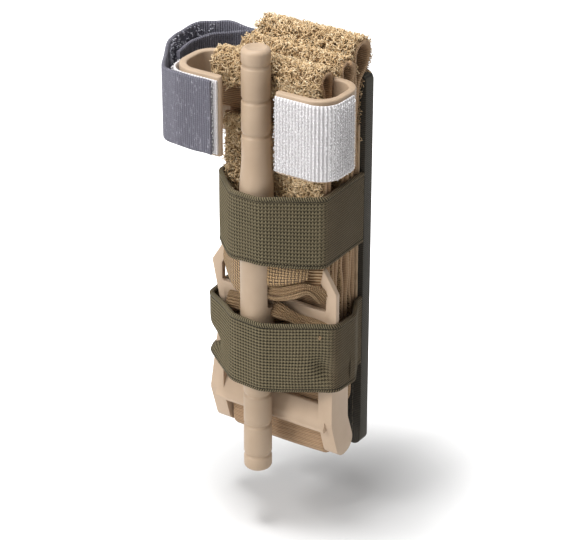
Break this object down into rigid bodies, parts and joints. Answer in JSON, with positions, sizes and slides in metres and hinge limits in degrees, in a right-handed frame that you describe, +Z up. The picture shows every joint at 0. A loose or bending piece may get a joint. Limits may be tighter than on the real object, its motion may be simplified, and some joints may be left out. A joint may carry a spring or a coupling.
{
  "type": "windlass tourniquet with belt holder",
  "caption": "Folded windlass tourniquet with clip, buckle, loop-pile band and time strap, carried in an elastic-band holder with a snap belt strap.",
  "frame": {"origin": "centre of the back face of the holder panel, where a belt bears", "axes": "+Z up along the windlass rod, +Y out of the panel's back towards the wearer, +X to the right seen from the front"},
  "size_m": [0.078, 0.0491, 0.15],
  "materials": {
    "panel_fabric": "tight woven nylon, dark olive",
    "stiffener": "black sheet",
    "binding_tape": "folded binding tape, dark olive",
    "elastic": "knitted elastic, olive",
    "webbing": "plain webbing, dark olive",
    "snap_metal": "black enamel",
    "moulded_plastic": "moulded plastic, tan, fine texture",
    "hook_tape": "white hook tape",
    "time_strap": "lavender-gray hook and loop tape",
    "loop_band": "tan band with loop pile outside",
    "band_hook": "tan hook tape",
    "ribbon": "coarse golden-brown ribbon"
  },
  "bodies": {
    "holder": {"panel_front_fabric": "panel_fabric", "panel_back_fabric": "panel_fabric", "panel_stiffener": "stiffener", "panel_binding": "binding_tape", "upper_elastic_band": "elastic", "lower_elastic_band": "elastic", "belt_strap_root": "webbing", "snap_stud": "snap_metal", "snap_eyelet": "snap_metal"},
    "belt_flap": {"belt_strap": "webbing", "snap_socket": "snap_metal", "snap_cap": "snap_metal"},
    "pack": {"windlass_clip": "moulded_plastic", "clip_hook_patch_left": "hook_tape", "clip_hook_patch_right": "hook_tape", "time_strap_base": "time_strap", "base_plate": "moulded_plastic", "buckle_frame": "moulded_plastic", "outer_band": "loop_band", "band_hook_tape": "band_hook", "buckle_band_loop": "loop_band", "inner_band_upper_run": "ribbon", "inner_band_lower_run": "ribbon"},
    "windlass_carrier": {"inner_band_loop": "ribbon"},
    "windlass": {"windlass_rod": "moulded_plastic"},
    "time_strap_free_end": {"time_strap_tail": "time_strap"}
  },
  "joints": [
    {"name": "belt_strap_open", "type": "hinge", "parent": "holder", "child": "belt_flap", "pos_m": [0, 0.0012, 0.026], "axis": [1, 0, 0], "range_deg": [0, 110]},
    {"name": "pack_draw", "type": "slide", "parent": "holder", "child": "pack", "axis": [0, 0, 1], "range_m": [0, 0.105], "deforming": ["upper_elastic_band", "lower_elastic_band"]},
    {"name": "windlass_lift", "type": "slide", "parent": "pack", "child": "windlass_carrier", "axis": [0, -1, 0], "range_m": [0, 0.016], "deforming": ["inner_band_loop"]},
    {"name": "windlass_turn", "type": "hinge", "parent": "windlass_carrier", "child": "windlass", "pos_m": [-0.0026, -0.0311, 0.0055], "axis": [0, 1, 0], "range_deg": [-16, 16]},
    {"name": "time_strap_open", "type": "hinge", "parent": "pack", "child": "time_strap_free_end", "pos_m": [-0.02575, -0.0411, 0.056], "axis": [0, 0, 1], "range_deg": [0, 105]}
  ]
}
